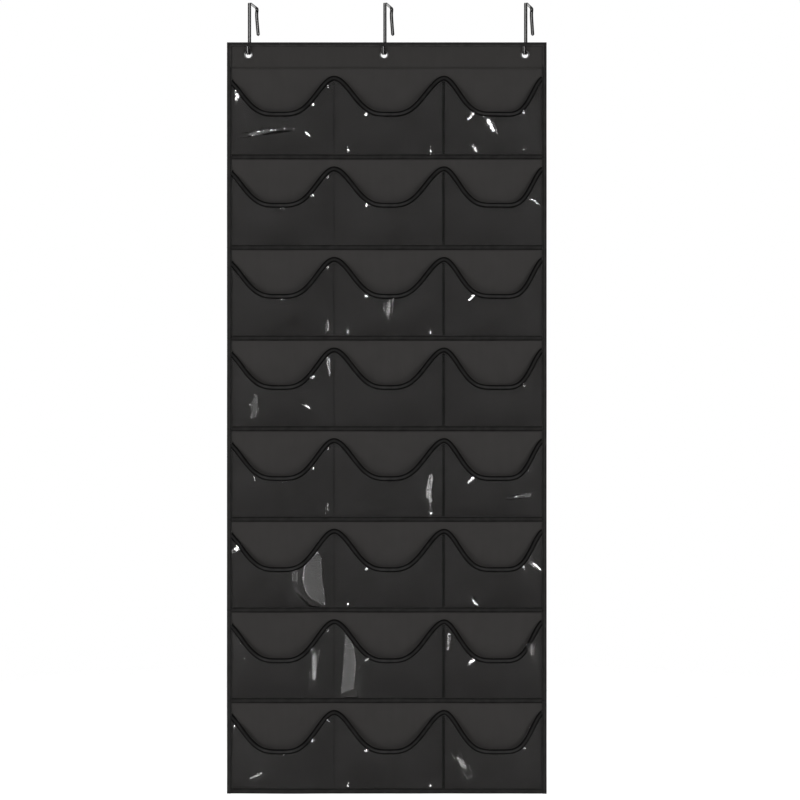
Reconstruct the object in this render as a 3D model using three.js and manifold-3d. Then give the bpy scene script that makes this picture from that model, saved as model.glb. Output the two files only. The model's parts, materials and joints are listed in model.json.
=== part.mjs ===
// Over-the-door shoe organizer: a black fabric panel that hangs from three metal hooks and
// carries eight rows of three clear film pockets. The fabric folds between the rows, so each
// row is a group of its own below the header band.
//
// Millimetres, +Z up, -Y is the front with the pockets. The origin is the middle of the flat
// underside of the middle hook's bridge, the face that rests on the top of the door.

import * as THREE from 'three';
import { mergeVertices } from 'three/addons/utils/BufferGeometryUtils.js';
import Module from 'manifold-3d';

// Panel
const ROWS = 8;
const PANEL_WIDTH = 600;
const HEADER_HEIGHT = 50;
const ROW_HEIGHT = 170;
const BACKING_THICKNESS = 0.6;
const FACING_THICKNESS = 0.5;
const FILM_THICKNESS = 0.5;
const GAP = 0.3; // between layers that touch on the real panel
const HALF_WIDTH = PANEL_WIDTH / 2;

// Tapes
const TAPE_THICKNESS = 0.8;
const EDGE_TAPE_WIDTH = 8;
const SHEET_HALF_WIDTH = HALF_WIDTH - TAPE_THICKNESS - GAP; // fabric and film inside the edge tapes
const HEM_HEIGHT = 9.4;
const MOUTH_TAPE_HEIGHT = 9.4;

// Fold lines lie just below each hem, where the panel is one layer of fabric
const FOLD_DROP = 4;
const FABRIC_FOLD_CLEARANCE = 0.8;
const TAPE_FOLD_CLEARANCE = 3.4;

// Pockets
const POCKET_DEPTH = 18;
const POCKET_FILL_HEIGHT = 80; // height above the hem where the pocket is at its deepest
const MOUTH_PEAK_DROP = 13; // mouth below the seam at the dividers
const MOUTH_VALLEY_DROP = 83.5; // mouth below the seam at the middle of a pocket
const BULGE_POWER = 0.8; // below 1 the pocket is boxier than a sine wave
const POCKET_COLUMNS = 8; // facets across one pocket
const POCKET_LEVELS = 4; // facets up the film above the hem

// Eyelets
const EYELET_DROP = 24; // centre below the top of the panel
const EYELET_HOLE_RADIUS = 5.6;
const EYELET_BARREL = 0.6;
const EYELET_RIM_RADIUS = 8.2;
const EYELET_RIM = 0.7;
const EYELET_DOME = 0.4; // the rim's edges are lower than its middle by this
const WASHER_THICKNESS = 0.5;
const ROUND_SEGMENTS = 20;

// Hooks: a flat strip with a bridge over the door and a J that holds the eyelet
const STRIP_WIDTH = 6.4;
const STRIP_THICKNESS = 1.5;
const DOOR_GAP = 44;
const BRIDGE_TO_PANEL = 75; // underside of the bridge to the top of the panel
const J_RADIUS = 4.6; // inside of the J
const J_RISE = 2; // inside of the J above the eyelet's centre
const TIP_DROP = 7; // end of the J below the top of the panel
const J_SEGMENTS = 10;
const CORNER_RADIUS = 2.5; // inside of the two bends of the bridge
const CORNER_SEGMENTS = 4;
const REAR_LEG_LENGTH = 50;
const REAR_KINK_DEPTH = 2;
const REAR_KINK_DROP = 13;
const REAR_FLARE = 8;
const REAR_EARLY_FLARE = 2.4; // how far the leg has flared halfway from the kink to its end
const REAR_LEG_SEGMENTS = 9;
const HOOKS = [
  { name: 'left', x: -259.5, swivel: 13 },
  { name: 'middle', x: -5, swivel: 16 },
  { name: 'right', x: 259.5, swivel: 19 },
];

const FRONT = -1; // direction of the front along Y

// Layers of the panel, as distances in front of the middle of the backing
const BACKING_FACE = BACKING_THICKNESS / 2;
const LAYER_BACK = BACKING_FACE + GAP; // back of the film and of the header's facing
const FILM_FRONT = LAYER_BACK + FILM_THICKNESS;
const TAPE_BACK = FILM_FRONT + GAP;
const TAPE_FRONT = TAPE_BACK + TAPE_THICKNESS;
const REAR_TAPE_BACK = LAYER_BACK + TAPE_THICKNESS; // behind the backing

const WELD_DISTANCE = 1e-4; // corners closer than this are one corner
const CUT_MARGIN = 1; // how far a cutter reaches past what it cuts

const manifold = await Module();
manifold.setup();

const finishes = {
  fabric: { color: 0x2c2a29, roughness: 0.95, metalness: 0 },
  facing: { color: 0x252424, roughness: 0.95, metalness: 0 },
  tape: { color: 0x1c1b1b, roughness: 0.85, metalness: 0 },
  film: { color: 0x8a8d8f, roughness: 0.12, metalness: 0, transparent: true, opacity: 0.35 },
  eyelet: { color: 0x161616, roughness: 0.35, metalness: 0.6 },
  hook: { color: 0x9b9a98, roughness: 0.18, metalness: 1 },
};

function namedMesh(name, geometry, finish) {
  const mesh = new THREE.Mesh(geometry, new THREE.MeshStandardMaterial(finishes[finish]));
  mesh.name = name;
  return mesh;
}

// Booleans

function toSolid(geometry) {
  const bare = geometry.clone();
  bare.deleteAttribute('normal');
  bare.deleteAttribute('uv');
  const merged = mergeVertices(bare, WELD_DISTANCE);
  return new manifold.Manifold(new manifold.Mesh({
    numProp: 3,
    vertProperties: new Float32Array(merged.attributes.position.array),
    triVerts: new Uint32Array(merged.index.array),
  }));
}

function toGeometry(solid) {
  const mesh = solid.getMesh();
  const geometry = new THREE.BufferGeometry();
  geometry.setAttribute('position', new THREE.BufferAttribute(mesh.vertProperties, 3));
  geometry.setIndex(new THREE.BufferAttribute(mesh.triVerts, 1));
  return geometry;
}

// Panel pieces. A plate lies in the XZ plane between two heights and two distances from the
// middle of the backing; front and back count towards the front.

function plate(halfWidth, top, bottom, front, back) {
  const geometry = new THREE.BoxGeometry(2 * halfWidth, front - back, top - bottom);
  return geometry.translate(0, FRONT * (front + back) / 2, (top + bottom) / 2);
}

function plateWithEyeletHoles(halfWidth, top, bottom, front, back, holeRadius) {
  const outline = new THREE.Shape();
  outline.moveTo(-halfWidth, bottom);
  outline.lineTo(halfWidth, bottom);
  outline.lineTo(halfWidth, top);
  outline.lineTo(-halfWidth, top);
  for (const hook of HOOKS) {
    outline.holes.push(new THREE.Path().absarc(hook.x, -EYELET_DROP, holeRadius, 0, 2 * Math.PI, true));
  }
  const geometry = new THREE.ExtrudeGeometry(outline, {
    depth: front - back,
    bevelEnabled: false,
    curveSegments: ROUND_SEGMENTS / 2, // counted per half circle
  });
  return geometry.rotateX(Math.PI / 2).translate(0, FRONT * back, 0);
}

// A folded tape in section: open towards the panel, with a flange on each face of it.
// u runs outwards across the panel, v towards the front.
function channelSection() {
  const section = new THREE.Shape();
  section.moveTo(-EDGE_TAPE_WIDTH, TAPE_FRONT);
  section.lineTo(0, TAPE_FRONT);
  section.lineTo(0, -REAR_TAPE_BACK);
  section.lineTo(-EDGE_TAPE_WIDTH, -REAR_TAPE_BACK);
  section.lineTo(-EDGE_TAPE_WIDTH, -LAYER_BACK);
  section.lineTo(-TAPE_THICKNESS, -LAYER_BACK);
  section.lineTo(-TAPE_THICKNESS, TAPE_BACK);
  section.lineTo(-EDGE_TAPE_WIDTH, TAPE_BACK);
  return section;
}

function edgeTape(side, top, bottom) {
  const geometry = new THREE.ExtrudeGeometry(channelSection(), { depth: top - bottom, bevelEnabled: false });
  if (side === 'right') {
    // half a turn about the front axis puts the open side to the left and the length downwards
    return geometry.rotateX(Math.PI).translate(HALF_WIDTH, 0, top);
  }
  // half a turn about the vertical axis swaps outwards and forwards together
  return geometry.rotateZ(Math.PI).translate(-HALF_WIDTH, 0, bottom);
}

// The header's tape runs up the left edge, along the top and down the right edge.
function headerTape(bottom) {
  const outer = plate(HALF_WIDTH, 0, bottom, TAPE_FRONT, -REAR_TAPE_BACK);
  const belowTape = bottom - CUT_MARGIN;
  const slot = plate(HALF_WIDTH - TAPE_THICKNESS, -TAPE_THICKNESS, belowTape, TAPE_BACK, -LAYER_BACK);
  const opening = plate(
    HALF_WIDTH - EDGE_TAPE_WIDTH,
    -EDGE_TAPE_WIDTH,
    belowTape,
    TAPE_FRONT + CUT_MARGIN,
    -REAR_TAPE_BACK - CUT_MARGIN,
  );
  return toGeometry(toSolid(outer).subtract(toSolid(slot)).subtract(toSolid(opening)));
}

// Pocket film. Heights are measured from the row's top seam, so they are negative.

const POCKET_EDGE = HALF_WIDTH - EDGE_TAPE_WIDTH - GAP; // outer edge of the outer pockets
const LEFT_DIVIDER = -99;
const RIGHT_DIVIDER = 108;

// Each pocket has its left and right edges, and a scalloped mouth: x of its lowest point, how
// far from there each flank takes to reach a peak, and a power, where a higher one gives a
// flatter valley and a narrower peak. The outer flank of the left pocket is cut by its edge.
const POCKETS = [
  { left: -POCKET_EDGE, right: LEFT_DIVIDER, valley: -200, reach: [107, 101], power: 3.7 },
  { left: LEFT_DIVIDER, right: RIGHT_DIVIDER, valley: 4, reach: [103, 104], power: 3.4 },
  { left: RIGHT_DIVIDER, right: POCKET_EDGE, valley: 211, reach: [103, 83], power: 5 },
];

function onFilm(x) {
  return THREE.MathUtils.clamp(x, -POCKET_EDGE, POCKET_EDGE);
}

function pocketAt(x) {
  return POCKETS.find((pocket) => onFilm(x) <= pocket.right);
}

// The mouth is a row of rounded scallops that meet in peaks at the dividers.
function mouthDrop(x) {
  const { valley, reach, power } = pocketAt(x);
  const fromValley = onFilm(x) - valley;
  const share = Math.min(1, Math.abs(fromValley) / (fromValley < 0 ? reach[0] : reach[1]));
  const scallop = 1 - Math.sin(Math.PI / 2 * share) ** power;
  return MOUTH_PEAK_DROP + (MOUTH_VALLEY_DROP - MOUTH_PEAK_DROP) * scallop;
}

// The film is sewn flat at the dividers, the edges and the hem, and bows forwards between.
function filmBulge(x, z) {
  const aboveHem = Math.max(0, z + ROW_HEIGHT - HEM_HEIGHT);
  const rise = Math.sin(Math.PI / 2 * Math.min(1, aboveHem / POCKET_FILL_HEIGHT));
  const { left, right } = pocketAt(x);
  const across = Math.max(0, Math.sin(Math.PI * (onFilm(x) - left) / (right - left))) ** BULGE_POWER;
  return POCKET_DEPTH * rise * across;
}

// Columns of a film piece: every facet edge across the pockets, in order from the left
function pocketColumns() {
  const columns = [-POCKET_EDGE];
  for (const { left, right } of POCKETS) {
    for (let i = 1; i <= POCKET_COLUMNS; i += 1) {
      columns.push(left + (right - left) * i / POCKET_COLUMNS);
    }
  }
  return columns;
}

// A closed skin with one cell per column and level. levelsAt gives the heights at x, and front
// and back are the distances of its faces from the middle of the backing. Both faces have the
// same diagonals, so that they stay parallel where the film bows.
function skin(columns, levelsAt, front, back) {
  const levelCount = levelsAt(0).length;
  const positions = [];
  for (const layer of [front, back]) {
    for (const x of columns) {
      for (const z of levelsAt(x)) {
        positions.push(x, FRONT * (layer + filmBulge(x, z)), z);
      }
    }
  }
  const backStart = columns.length * levelCount;
  const triangles = [];
  // a, b, c, d run anticlockwise as seen from outside
  const quad = (a, b, c, d) => triangles.push(a, b, c, a, c, d);
  for (let column = 0; column < columns.length - 1; column += 1) {
    const left = column * levelCount;
    const right = left + levelCount;
    for (let level = 0; level < levelCount - 1; level += 1) {
      quad(left + level, right + level, right + level + 1, left + level + 1);
      const [low, high] = [backStart + level, backStart + level + 1];
      triangles.push(left + low, right + high, right + low, left + low, left + high, right + high);
    }
    const top = levelCount - 1;
    quad(left + backStart, right + backStart, right, left);
    quad(left + top, right + top, right + top + backStart, left + top + backStart);
  }
  const lastColumn = backStart - levelCount;
  for (let level = 0; level < levelCount - 1; level += 1) {
    quad(backStart + level, level, level + 1, backStart + level + 1);
    const right = lastColumn + level;
    quad(right, right + backStart, right + backStart + 1, right + 1);
  }
  const geometry = new THREE.BufferGeometry();
  geometry.setAttribute('position', new THREE.Float32BufferAttribute(positions, 3));
  geometry.setIndex(triangles);
  return geometry;
}

function pocketStrip() {
  const columns = [-SHEET_HALF_WIDTH, ...pocketColumns(), SHEET_HALF_WIDTH];
  const hemTop = -ROW_HEIGHT + HEM_HEIGHT;
  const levelsAt = (x) => {
    const levels = [-ROW_HEIGHT];
    for (let i = 0; i <= POCKET_LEVELS; i += 1) {
      levels.push(THREE.MathUtils.lerp(hemTop, -mouthDrop(x), i / POCKET_LEVELS));
    }
    return levels;
  };
  return skin(columns, levelsAt, FILM_FRONT, LAYER_BACK);
}

function mouthTape() {
  const columns = pocketColumns();
  columns[0] += GAP;
  columns[columns.length - 1] -= GAP;
  const levelsAt = (x) => [-mouthDrop(x) - MOUTH_TAPE_HEIGHT, -mouthDrop(x)];
  return skin(columns, levelsAt, TAPE_FRONT, TAPE_BACK);
}

// Metal pieces

function closedLathe(outline) {
  const points = outline.map(([radius, along]) => new THREE.Vector2(radius, along));
  points.push(points[0].clone());
  return new THREE.LatheGeometry(points, ROUND_SEGMENTS);
}

// The barrel goes through both layers of the header, with a domed rim in front of them and a
// rolled lip behind the washer.
const BARREL_RADIUS = EYELET_HOLE_RADIUS + EYELET_BARREL;
const FABRIC_HOLE_RADIUS = BARREL_RADIUS + GAP;
const RIM_BACK = FRONT * (LAYER_BACK + FACING_THICKNESS + GAP);
const RIM_FRONT = RIM_BACK + FRONT * EYELET_RIM;
const WASHER_FRONT = LAYER_BACK;
const LIP_FRONT = WASHER_FRONT + WASHER_THICKNESS + GAP;
const LIP_BACK = LIP_FRONT + EYELET_BARREL;

function eyelet() {
  const dome = EYELET_DOME;
  const lipRadius = FABRIC_HOLE_RADIUS + EYELET_BARREL;
  return closedLathe([
    [EYELET_HOLE_RADIUS, RIM_FRONT + dome],
    [EYELET_HOLE_RADIUS + dome, RIM_FRONT],
    [EYELET_RIM_RADIUS - dome, RIM_FRONT],
    [EYELET_RIM_RADIUS, RIM_FRONT + dome],
    [EYELET_RIM_RADIUS, RIM_BACK],
    [BARREL_RADIUS, RIM_BACK],
    [BARREL_RADIUS, LIP_FRONT],
    [lipRadius, LIP_FRONT],
    [lipRadius, LIP_BACK],
    [EYELET_HOLE_RADIUS, LIP_BACK],
  ]);
}

function washer() {
  return closedLathe([
    [FABRIC_HOLE_RADIUS, WASHER_FRONT],
    [EYELET_RIM_RADIUS, WASHER_FRONT],
    [EYELET_RIM_RADIUS, WASHER_FRONT + WASHER_THICKNESS],
    [FABRIC_HOLE_RADIUS, WASHER_FRONT + WASHER_THICKNESS],
  ]);
}

// Hook, seen from its side: u runs backwards from the swivel axis through the eyelet, v up.

const J_MIDDLE_RADIUS = J_RADIUS + STRIP_THICKNESS / 2;
const J_CENTRE = -BRIDGE_TO_PANEL - EYELET_DROP + J_RISE + J_RADIUS;
const TIP_TOP = -BRIDGE_TO_PANEL - TIP_DROP;
const BEND_RADIUS = CORNER_RADIUS + STRIP_THICKNESS / 2;
const BRIDGE_MIDDLE = STRIP_THICKNESS / 2;
const REAR_LEG = J_MIDDLE_RADIUS + DOOR_GAP + STRIP_THICKNESS;
const HOOK_CENTRE = (J_MIDDLE_RADIUS + REAR_LEG) / 2; // middle of the bridge
const REAR_END = new THREE.Vector2(REAR_LEG + REAR_FLARE, -REAR_LEG_LENGTH);

function arcPoints(centreU, centreV, radius, from, to, steps) {
  const points = [];
  for (let i = 0; i <= steps; i += 1) {
    const angle = from + (to - from) * i / steps;
    points.push(new THREE.Vector2(centreU + radius * Math.cos(angle), centreV + radius * Math.sin(angle)));
  }
  return points;
}

// Middle line of the strip, from the end of the J to the end of the rear leg
function hookLine() {
  const bendCentre = BRIDGE_MIDDLE - BEND_RADIUS;
  const frontBend = J_MIDDLE_RADIUS + BEND_RADIUS;
  const rearLeg = new THREE.SplineCurve([
    new THREE.Vector2(REAR_LEG, bendCentre),
    new THREE.Vector2(REAR_LEG - REAR_KINK_DEPTH, -REAR_KINK_DROP),
    new THREE.Vector2(REAR_LEG + REAR_EARLY_FLARE, (-REAR_KINK_DROP - REAR_LEG_LENGTH) / 2),
    REAR_END,
  ]);
  return [
    new THREE.Vector2(-J_MIDDLE_RADIUS, TIP_TOP),
    ...arcPoints(0, J_CENTRE, J_MIDDLE_RADIUS, -Math.PI, 0, J_SEGMENTS),
    ...arcPoints(frontBend, bendCentre, BEND_RADIUS, Math.PI, Math.PI / 2, CORNER_SEGMENTS),
    ...arcPoints(REAR_LEG - BEND_RADIUS, bendCentre, BEND_RADIUS, Math.PI / 2, 0, CORNER_SEGMENTS),
    ...rearLeg.getPoints(REAR_LEG_SEGMENTS).slice(1),
  ];
}

// Outline of the strip's edge: the middle line moved half a thickness to each side
function stripOutline(line) {
  const sides = [[], []];
  line.forEach((point, i) => {
    const before = line[Math.max(i - 1, 0)];
    const after = line[Math.min(i + 1, line.length - 1)];
    const along = after.clone().sub(before).normalize();
    const across = new THREE.Vector2(-along.y, along.x).multiplyScalar(STRIP_THICKNESS / 2);
    sides[0].push(point.clone().add(across));
    sides[1].push(point.clone().sub(across));
  });
  return new THREE.Shape([...sides[0], ...sides[1].reverse()]);
}

// What is cut away to round a strip end: a block less a cylinder as wide as the strip
function endCutter(u, v, direction) {
  const radius = STRIP_WIDTH / 2;
  const depth = 4 * STRIP_THICKNESS;
  const height = radius + CUT_MARGIN;
  const block = new THREE.BoxGeometry(STRIP_WIDTH + 2 * CUT_MARGIN, depth, height);
  block.translate(0, 0, direction * height / 2);
  const round = new THREE.CylinderGeometry(radius, radius, depth + CUT_MARGIN, ROUND_SEGMENTS);
  const cutter = toSolid(block).subtract(toSolid(round));
  return cutter.translate([0, u, v - direction * radius]);
}

function hook() {
  const geometry = new THREE.ExtrudeGeometry(stripOutline(hookLine()), {
    depth: STRIP_WIDTH,
    bevelEnabled: false,
  });
  // side view (u, v, width) to (width, u, v)
  geometry.rotateX(Math.PI / 2).rotateZ(Math.PI / 2).translate(-STRIP_WIDTH / 2, 0, 0);
  const strip = toSolid(geometry);
  const tipCutter = endCutter(-J_MIDDLE_RADIUS, TIP_TOP, 1);
  const rearCutter = endCutter(REAR_END.x, REAR_END.y - STRIP_THICKNESS / 4, -1);
  return toGeometry(strip.subtract(tipCutter).subtract(rearCutter));
}

// Assembly

const organizer = new THREE.Group();

// The panel hangs so that the middle hook's bridge is over the origin.
const middleHook = HOOKS.find((entry) => entry.name === 'middle');
const middleSwivel = THREE.MathUtils.degToRad(middleHook.swivel);
const panel = new THREE.Group();
panel.position.set(
  -HOOK_CENTRE * Math.sin(middleSwivel) - middleHook.x,
  -HOOK_CENTRE * Math.cos(middleSwivel),
  -BRIDGE_TO_PANEL,
);
organizer.add(panel);

const headerTop = -TAPE_THICKNESS - GAP;
const headerBottom = -HEADER_HEIGHT - FOLD_DROP;
panel.add(namedMesh('header_panel', plateWithEyeletHoles(
  SHEET_HALF_WIDTH,
  headerTop,
  headerBottom + FABRIC_FOLD_CLEARANCE,
  BACKING_FACE,
  -BACKING_FACE,
  FABRIC_HOLE_RADIUS,
), 'fabric'));
panel.add(namedMesh('header_facing', plateWithEyeletHoles(
  SHEET_HALF_WIDTH,
  headerTop,
  -HEADER_HEIGHT,
  LAYER_BACK + FACING_THICKNESS,
  LAYER_BACK,
  FABRIC_HOLE_RADIUS,
), 'facing'));
panel.add(namedMesh('header_binding', headerTape(headerBottom + TAPE_FOLD_CLEARANCE), 'tape'));

for (const { name, x, swivel } of HOOKS) {
  const fixing = new THREE.Group();
  fixing.position.set(x, 0, -EYELET_DROP);
  fixing.add(namedMesh(`eyelet_${name}`, eyelet(), 'eyelet'));
  fixing.add(namedMesh(`eyelet_washer_${name}`, washer(), 'eyelet'));
  panel.add(fixing);

  const hookMesh = namedMesh(`hook_${name}`, hook(), 'hook');
  hookMesh.position.set(x, 0, BRIDGE_TO_PANEL);
  hookMesh.rotation.z = -THREE.MathUtils.degToRad(swivel);
  panel.add(hookMesh);
}

for (let row = 1; row <= ROWS; row += 1) {
  const last = row === ROWS;
  const fabricBottom = last ? -ROW_HEIGHT : -ROW_HEIGHT - FOLD_DROP + FABRIC_FOLD_CLEARANCE;
  const tapeBottom = last ? -ROW_HEIGHT : -ROW_HEIGHT - FOLD_DROP + TAPE_FOLD_CLEARANCE;
  const fabricTop = -FOLD_DROP - FABRIC_FOLD_CLEARANCE;
  const tapeTop = -FOLD_DROP - TAPE_FOLD_CLEARANCE;
  const hemHalfWidth = POCKET_EDGE - GAP;
  const hemTop = -ROW_HEIGHT + HEM_HEIGHT;
  const parts = [
    ['backing', plate(SHEET_HALF_WIDTH, fabricTop, fabricBottom, BACKING_FACE, -BACKING_FACE), 'fabric'],
    ['pocket_strip', pocketStrip(), 'film'],
    ['mouth_binding', mouthTape(), 'tape'],
    ['left_binding', edgeTape('left', tapeTop, tapeBottom), 'tape'],
    ['right_binding', edgeTape('right', tapeTop, tapeBottom), 'tape'],
    ['hem_binding', plate(hemHalfWidth, hemTop, -ROW_HEIGHT, TAPE_FRONT, TAPE_BACK), 'tape'],
  ];
  const group = new THREE.Group();
  group.position.z = -HEADER_HEIGHT - (row - 1) * ROW_HEIGHT;
  for (const [piece, geometry, finish] of parts) {
    group.add(namedMesh(`row_${row}_${piece}`, geometry, finish));
  }
  panel.add(group);
}

export default organizer;
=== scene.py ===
"""Looks of the over-the-door shoe organizer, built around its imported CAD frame.

Metres, +Z up, the pockets face -Y. Every soft CAD solid is replaced by a sewn piece of its own:
non-woven fabric sheets, clear film strips with pleats and creases, folded tapes and their
stitches. The hooks and eyelets are remade from the same sizes with rounded edges.
"""
import json
import math

import bmesh
import bpy
import numpy as np
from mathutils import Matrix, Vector
from mathutils.geometry import delaunay_2d_cdt

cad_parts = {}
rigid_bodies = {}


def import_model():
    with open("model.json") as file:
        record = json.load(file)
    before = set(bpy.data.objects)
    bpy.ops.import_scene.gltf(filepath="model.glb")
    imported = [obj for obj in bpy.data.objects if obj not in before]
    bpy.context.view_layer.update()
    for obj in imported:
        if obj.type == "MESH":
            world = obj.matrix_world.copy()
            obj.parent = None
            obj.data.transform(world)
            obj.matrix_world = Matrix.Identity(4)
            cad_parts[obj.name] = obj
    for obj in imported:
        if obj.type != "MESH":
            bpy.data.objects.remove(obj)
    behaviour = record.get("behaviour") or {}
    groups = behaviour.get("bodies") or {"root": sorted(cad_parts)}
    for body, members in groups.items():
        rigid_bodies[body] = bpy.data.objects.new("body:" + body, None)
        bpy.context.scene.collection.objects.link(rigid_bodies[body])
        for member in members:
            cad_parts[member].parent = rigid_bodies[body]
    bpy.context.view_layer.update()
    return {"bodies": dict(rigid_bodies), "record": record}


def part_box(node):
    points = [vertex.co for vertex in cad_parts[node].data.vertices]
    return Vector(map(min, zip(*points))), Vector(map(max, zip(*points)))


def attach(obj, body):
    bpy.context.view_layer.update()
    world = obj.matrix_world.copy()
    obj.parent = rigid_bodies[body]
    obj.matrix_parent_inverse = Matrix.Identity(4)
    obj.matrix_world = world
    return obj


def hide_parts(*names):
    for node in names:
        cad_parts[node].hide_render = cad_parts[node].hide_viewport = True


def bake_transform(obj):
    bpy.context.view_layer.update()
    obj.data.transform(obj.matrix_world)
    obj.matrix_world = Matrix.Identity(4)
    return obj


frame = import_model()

MM = 0.001
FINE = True

# ---- sizes from the frame

ROWS = sum(name.startswith("row_") for name in frame["bodies"])
JOINTS = {joint["name"]: joint for joint in frame["record"]["behaviour"]["joints"]}
HOOK_SIDES = ["left", "middle", "right"]

header_low, header_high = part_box("header_binding")
backing_low, backing_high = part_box("row_1_backing")
mouth_low, mouth_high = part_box("row_1_mouth_binding")
hem_low, hem_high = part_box("row_1_hem_binding")
edge_low, edge_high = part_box("row_1_left_binding")
hook_low, hook_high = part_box("hook_middle")

LEFT, RIGHT, TOP = header_low.x, header_high.x, header_high.z
WIDTH = RIGHT - LEFT
CENTRE_X = (LEFT + RIGHT) / 2
PANEL_Y = (backing_low.y + backing_high.y) / 2
HEADER_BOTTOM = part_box("header_facing")[0].z
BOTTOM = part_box(f"row_{ROWS}_hem_binding")[0].z
ROW_HEIGHT = (HEADER_BOTTOM - BOTTOM) / ROWS
HEM_HEIGHT = hem_high.z - hem_low.z
EDGE_TAPE = edge_high.x - edge_low.x
POCKET_LEFT, POCKET_RIGHT = mouth_low.x, mouth_high.x
PEAK_DROP = HEADER_BOTTOM - mouth_high.z
VALLEY_DROP = HEADER_BOTTOM - mouth_low.z - HEM_HEIGHT

# distances in front of the middle of the backing; a negative one is behind it
FABRIC_HALF = 0.25 * MM
FILM_BASE = 0.9 * MM
FILM_THICKNESS = 0.25 * MM
FACING_FRONT = 1.0 * MM
TAPE_FRONT = PANEL_Y - edge_low.y
TAPE_BACK = PANEL_Y - edge_high.y

FOLD_REACH = 6 * MM      # the fabric bends this far to each side of a fold line
FOLD_OVERLAP = 7 * MM    # a sheet starts this far above its fold line
CLOTH_INSET = 1.1 * MM   # cloth and film end this far inside the edge tapes
FILM_INSET = 1.3 * MM

# each line of stitches from the middle of its tape
MOUTH_GROOVE = 3.3 * MM
HEM_GROOVE = 3.4 * MM
EDGE_SEAM = 0.3 * EDGE_TAPE


def pocket_spans():
    """Left and right edge of each pocket. Its opening in the record is half as wide as it is."""
    spans = []
    for opening in frame["record"]["physics"]["openings"]:
        if opening["name"].startswith("row_1_"):
            low, high = opening["box_m"][0][0], opening["box_m"][1][0]
            spans.append(((3 * low - high) / 2, (3 * high - low) / 2))
    return spans


POCKETS = pocket_spans()

# The mouth of each pocket: its lowest point and the two flanks' reach as shares of the pocket's
# width, and a power, where a higher one gives a flatter valley and a narrower peak.
SCALLOPS = [(0.476, 0.555, 0.524, 3.7), (0.498, 0.498, 0.502, 3.4), (0.561, 0.561, 0.452, 5.0)]


def row_top(row):
    return HEADER_BOTTOM - (row - 1) * ROW_HEIGHT


def hem_top(row):
    return row_top(row) - ROW_HEIGHT + HEM_HEIGHT


def fold_height(row):
    return JOINTS[f"fold_{row}"]["pos_m"][2]


# ---- camera, light and stage

WHITE = (1, 1, 1)
CAMERA_DISTANCE = 3.0
FRAME_WIDTH = 2.503 * WIDTH          # what the picture's width covers at the panel
CAMERA_SIDE = 0.0413 * WIDTH         # right of the panel's middle
CAMERA_DROP = 1.119 * WIDTH          # below the panel's top

CAMERA_PLACE = Vector((CENTRE_X + CAMERA_SIDE, PANEL_Y - CAMERA_DISTANCE, TOP - CAMERA_DROP))
PANEL_MIDDLE = Vector((CENTRE_X, PANEL_Y, (TOP + BOTTOM) / 2))

FLOOR_DROP = 0.27                    # below the panel's bottom
FLOOR_RADIUS = 12
FLOOR_FADE = (1.0, 3.2)              # distances between which the floor fades out

# Each light's middle from the panel's middle, its width and height, its radiance, and whether
# only glossy surfaces show it.
LIGHTS = {
    "left softbox": ((-2.9, -1.8, -0.1), (1.5, 1.8), 5.1, False),
    "right softbox": ((2.9, -1.8, -0.1), (1.5, 1.8), 4.2, False),
    "left strip": ((-2.2, -2.3, -0.2), (0.3, 2.0), 22, True),
    "right strip": ((2.2, -2.3, -0.2), (0.3, 2.0), 22, True),
    "left lamp": ((-2.5, -1.9, 1.5), (0.9, 0.9), 110, True),
    "right lamp": ((2.5, -1.9, 1.5), (0.9, 0.9), 110, True),
}


def make_camera():
    data = bpy.data.cameras.new("camera")
    data.sensor_width = 36
    data.lens = data.sensor_width * CAMERA_DISTANCE / FRAME_WIDTH
    camera = bpy.data.objects.new("camera", data)
    bpy.context.collection.objects.link(camera)
    camera.location = CAMERA_PLACE
    camera.rotation_euler = (math.pi / 2, 0, 0)
    bpy.context.scene.camera = camera


def area_light(name, offset, size, radiance, only_gloss):
    """A rectangular light aimed at the panel's middle."""
    place = PANEL_MIDDLE + Vector(offset)
    data = bpy.data.lights.new(name, "AREA")
    data.shape = "RECTANGLE"
    data.size, data.size_y = size
    data.energy = radiance * math.pi * size[0] * size[1]
    light = bpy.data.objects.new(name, data)
    bpy.context.collection.objects.link(light)
    light.location = place
    light.rotation_mode = "QUATERNION"
    light.rotation_quaternion = (PANEL_MIDDLE - place).to_track_quat("-Z", "Y")
    light.visible_camera = False
    light.visible_diffuse = not only_gloss


def make_world():
    """White behind the panel, greyer in front of it, as in a studio with its light on the wall."""
    world = bpy.data.worlds.new("studio")
    bpy.context.scene.world = world
    world.use_nodes = True
    tree = world.node_tree
    direction = node(tree, "TexCoord").outputs["Generated"]
    backwards = node(tree, "SeparateXYZ", {0: direction}).outputs["Y"]
    level = ramp(tree, backwards, -0.8, 0.2, 0.45, 1.0, interpolation_type="SMOOTHSTEP")
    background = tree.nodes["Background"]
    feed(tree, background.inputs["Color"], WHITE)
    feed(tree, background.inputs["Strength"], level)


def floor_material():
    """Pale paint, whiter and glowing behind the panel, that fades into the world further out."""
    material, tree = blank_material("floor_paint")
    place = node(tree, "TexCoord").outputs["Object"]
    behind = node(tree, "SeparateXYZ", {0: place}).outputs["Y"]
    distance = ramp(tree, total(tree, (noise(tree, place, 3.0), 0.1), (behind, 1.0)), -0.6, 0.9)
    paint = node(tree, "BsdfPrincipled", {
        "Base Color": mixed_colour(tree, distance, grey(0.42), grey(0.93)), "Roughness": 0.7,
        "Specular IOR Level": 0.2, "Emission Color": WHITE,
        "Emission Strength": total(tree, (distance, 0.25))})
    from_middle = node(tree, "VectorMath", {0: place}, operation="LENGTH").outputs["Value"]
    faded = ramp(tree, from_middle, *FLOOR_FADE)
    clear = node(tree, "BsdfTransparent")
    return finished(material, tree, node(tree, "MixShader", {0: faded, 1: paint, 2: clear}))


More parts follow.
